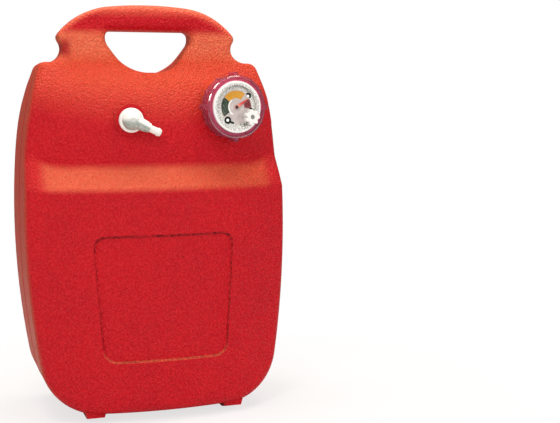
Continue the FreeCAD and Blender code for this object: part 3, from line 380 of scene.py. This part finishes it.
# Dial plane: a group that gives the distance from the cap's axis in millimetres and the turn about it in
# degrees, counted from the tank's right and upwards, for the printing on the dial.
CAP = Vector((0.0982, -0.0813, 0.4078))
CAP_TURN = math.radians(8)
CAP_ACROSS = Vector((math.cos(CAP_TURN), math.sin(CAP_TURN), 0))
CAP_OUT = Vector((math.sin(CAP_TURN), -math.cos(CAP_TURN), 0))
group = bpy.data.node_groups.new("dial_plane", "ShaderNodeTree")
for name in ("Across", "Up", "Radius", "Turn"):
    group.interface.new_socket(name, in_out="OUTPUT", socket_type="NodeSocketFloat")
inner = Tree(group)
off = inner.vector("SUBTRACT", inner.place(), CAP)
across = inner.math("MULTIPLY", inner.dot(off, CAP_ACROSS), 1000.0)
up = inner.math("MULTIPLY", inner.dot(off, (0, 0, 1)), 1000.0)
radius = inner.math("SQRT", inner.math("ADD", inner.math("MULTIPLY", across, across),
                                       inner.math("MULTIPLY", up, up)))
angle = inner.math("MULTIPLY", inner.math("ARCTAN2", up, across), 180 / math.pi)
angle = inner.math("FLOORED_MODULO", angle, 360.0)
inner.node("NodeGroupOutput", {"Across": across, "Up": up, "Radius": radius, "Turn": angle})


# Ring nut: clear polycarbonate with a pink cast, which shows the red tank through it and takes sharp
# highlights on its sloping front. Light passes it, so the gauge behind it isn't left in the dark.
BEVEL = math.tan(math.radians(36))
made, tree, shader, output = material("ring_clear")
place = tree.place()
haze = tree.noise(place, 120.0, 3.0, 0.6)
tree.feed(shader.inputs["Base Color"], tree.blend(haze, rgb(206, 112, 146), rgb(222, 140, 168)))
tree.feed(shader.inputs["Roughness"], tree.ramp(haze, 0.0, 1.0, 0.06, 0.16))
shader.inputs["Transmission Weight"].default_value = 0.84
shader.inputs["IOR"].default_value = 1.25
shader.inputs["Coat Roughness"].default_value = 0.06
shader.inputs["Coat IOR"].default_value = 1.9
soft_edges = tree.node("ShaderNodeBevel", {"Radius": 0.0018}, samples=6).outputs["Normal"]
tree.feed(shader.inputs["Normal"], tree.bump(tree.noise(place, 260.0, 2.0), 0.00008, 0.5, soft_edges))
plane = tree.node("ShaderNodeGroup", node_tree=group)
tree.feed(shader.inputs["Coat Weight"], tree.band(plane.outputs["Radius"], 39.2, 40.8, 0.25))
outward = tree.node("ShaderNodeCombineXYZ",
                    {0: plane.outputs["Across"], 1: 0.0, 2: plane.outputs["Up"]}).outputs[0]
outward = tree.node("ShaderNodeVectorRotate", {"Vector": outward, "Angle": CAP_TURN},
                    rotation_type="Z_AXIS").outputs["Vector"]
outward = tree.vector("NORMALIZE", outward)
outward = tree.vector("MULTIPLY", outward, (BEVEL, BEVEL, BEVEL))
outward = tree.vector("ADD", outward, CAP_OUT)
outward = tree.node("ShaderNodeVectorTransform", {"Vector": outward}, vector_type="NORMAL",
                    convert_from="OBJECT", convert_to="WORLD").outputs["Vector"]
outward = tree.vector("NORMALIZE", outward)
tree.feed(shader.inputs["Coat Normal"], outward)
pass_light(tree, shader, output, rgb(206, 140, 154))
dress("cap_ring", made)


# Gauge body: white nylon, whose rim is granular on its inner half, as worn paint on a rough moulding is.
made = plastic("gauge_white", rgb(246, 246, 246), 0.3, 0.02, scatter=0.1)
tree = Tree(made.node_tree)
shader = made.node_tree.nodes["Principled BSDF"]
plain = shader.inputs["Base Color"].links[0].from_socket
plane = tree.node("ShaderNodeGroup", node_tree=group)
grains = tree.band(tree.noise(tree.place(), 900.0, 3.0, 0.7), 0.5, 2.0, 0.05)
worn = tree.band(plane.outputs["Radius"], 20.0, 31.4, 0.35)
tree.feed(shader.inputs["Base Color"],
          tree.blend(worn, plain, tree.blend(grains, rgb(158, 154, 150), rgb(250, 250, 248))))
dress("gauge_housing", made)


# Dial: printed metal with a granular grey rim, a green and an ochre and a maroon band, a thin white line
# inside the green, and plain marks: a ring with a bar for empty, a half-shaded ring and a dot for full.
made, tree, shader, _ = material("dial_print")
plane = tree.node("ShaderNodeGroup", node_tree=group)
radius, angle = plane.outputs["Radius"], plane.outputs["Turn"]
place = tree.place()
speckle = tree.noise(place, 900.0, 3.0, 0.7)
cloud = tree.noise(place, 130.0, 3.0, 0.6)
colour = tree.blend(cloud, rgb(168, 152, 150), rgb(206, 200, 198))
rim = tree.band(radius, 22.6, 40.0, 0.4)
colour = tree.blend(rim, colour,
                    tree.blend(tree.band(speckle, 0.5, 2.0, 0.05), rgb(150, 148, 142), rgb(244, 244, 240)))
belt = tree.band(radius, 11.6, 21.4, 0.35)
for low, high, paint in ((143.0, 216.0, rgb(10, 48, 30)), (54.0, 143.0, rgb(202, 142, 16)),
                         (-6.0, 30.0, rgb(120, 36, 44)), (354.0, 366.0, rgb(120, 36, 44))):
    arc = tree.math("MULTIPLY", belt, tree.band(angle, low, high, 1.6))
    wear_and_painted_highlight = tree.blend(tree.math("MULTIPLY", tree.band(speckle, 0.58, 2.0, 0.08), 0.35), paint,
                        rgb(196, 186, 176))
    colour = tree.blend(arc, colour, wear_and_painted_highlight)
line = tree.math("MULTIPLY", tree.band(radius, 9.9, 11.5, 0.25), tree.band(angle, 125.0, 240.0, 2.0))
colour = tree.blend(line, colour, rgb(240, 240, 238))


def spot_distance(turn, distance):
    """Distance in millimetres from a mark's centre, given by its turn and its distance from the middle."""
    where = (distance * math.cos(math.radians(turn)), distance * math.sin(math.radians(turn)))
    east = tree.math("SUBTRACT", plane.outputs["Across"], where[0])
    north = tree.math("SUBTRACT", plane.outputs["Up"], where[1])
    return tree.math("SQRT", tree.math("ADD", tree.math("MULTIPLY", east, east),
                                       tree.math("MULTIPLY", north, north))), east, north


ring, east, north = spot_distance(234.0, 21.2)
colour = tree.blend(tree.band(ring, -1.0, 2.0, 0.3), colour, rgb(244, 244, 240))
colour = tree.blend(tree.band(ring, 2.0, 4.9, 0.3), colour, rgb(6, 8, 8))
bar = tree.math("MULTIPLY", tree.band(east, 3.6, 9.0, 0.3), tree.band(tree.math("ADD", north, tree.math(
    "MULTIPLY", east, 0.35)), -2.4, 0.4, 0.3))
colour = tree.blend(bar, colour, rgb(8, 34, 22))
half, east, north = spot_distance(40.0, 22.4)
shade = tree.math("MULTIPLY", tree.band(half, 1.5, 4.4, 0.3),
                  tree.band(tree.math("ADD", east, north), -0.6, 9.0, 0.3))
colour = tree.blend(shade, colour, rgb(6, 4, 6))
colour = tree.blend(tree.band(half, -1.0, 1.6, 0.3), colour, rgb(246, 246, 244))
full = spot_distance(352.0, 21.6)[0]
colour = tree.blend(tree.band(full, -1.0, 2.1, 0.3), colour, rgb(6, 4, 6))
tree.feed(shader.inputs["Base Color"], colour)
shader.inputs["Specular IOR Level"].default_value = 0.12
tree.feed(shader.inputs["Roughness"], tree.ramp(cloud, 0.0, 1.0, 0.35, 0.55))
tree.feed(shader.inputs["Normal"], tree.bump(speckle, 0.00008, 0.5))
dress("dial_plate", made)


# Pointer: red painted sheet metal with pale chips of wear, and a painted highlight that makes it paler
# towards the hub.
made, tree, shader, _ = material("pointer_red")
plane = tree.node("ShaderNodeGroup", node_tree=group)
near = tree.ramp(plane.outputs["Radius"], 2.0, 8.0)
chips = tree.noise(tree.place(), 1200.0, 3.0, 0.6)
paint = tree.blend(tree.band(chips, 0.62, 2.0, 0.05), rgb(196, 30, 30), rgb(214, 112, 86))
tree.feed(shader.inputs["Base Color"], tree.blend(near, rgb(226, 150, 120), paint))
tree.feed(shader.inputs["Roughness"], tree.ramp(chips, 0.0, 1.0, 0.3, 0.5))
tree.feed(shader.inputs["Normal"], tree.bump(chips, 0.00003, 0.4))
dress("gauge_pointer", made)


# Floor: plain pale studio ground that keeps the tank's soft shadow and is otherwise white to the camera.
mesh = bpy.data.meshes.new("floor")
mesh.from_pydata([(-4, -4, 0), (4, -4, 0), (4, 4, 0), (-4, 4, 0)], [], [(0, 1, 2, 3)])
floor = bpy.data.objects.new("floor", mesh)
bpy.context.scene.collection.objects.link(floor)
made, tree, shader, output = material("floor_pale")
place = tree.place()
paper = tree.noise(place, 14.0, 3.0)
tree.feed(shader.inputs["Base Color"], tree.blend(paper, rgb(244, 244, 244), rgb(250, 250, 250)))
shader.inputs["Roughness"].default_value = 0.9
shader.inputs["Specular IOR Level"].default_value = 0.1
away = tree.vector("LENGTH", place)
bright = tree.ramp(away, 0.20, 0.55, 0.72, 1.0)
white = tree.node("ShaderNodeEmission", {"Color": (1, 1, 1, 1)})
pale = tree.math("MULTIPLY", tree.ray("Is Camera Ray"), bright)
ground = tree.node("ShaderNodeMixShader", {"Fac": pale, 1: shader.outputs[0], 2: white.outputs[0]})
tree.feed(output.inputs["Surface"], ground.outputs[0])
mesh.materials.append(made)
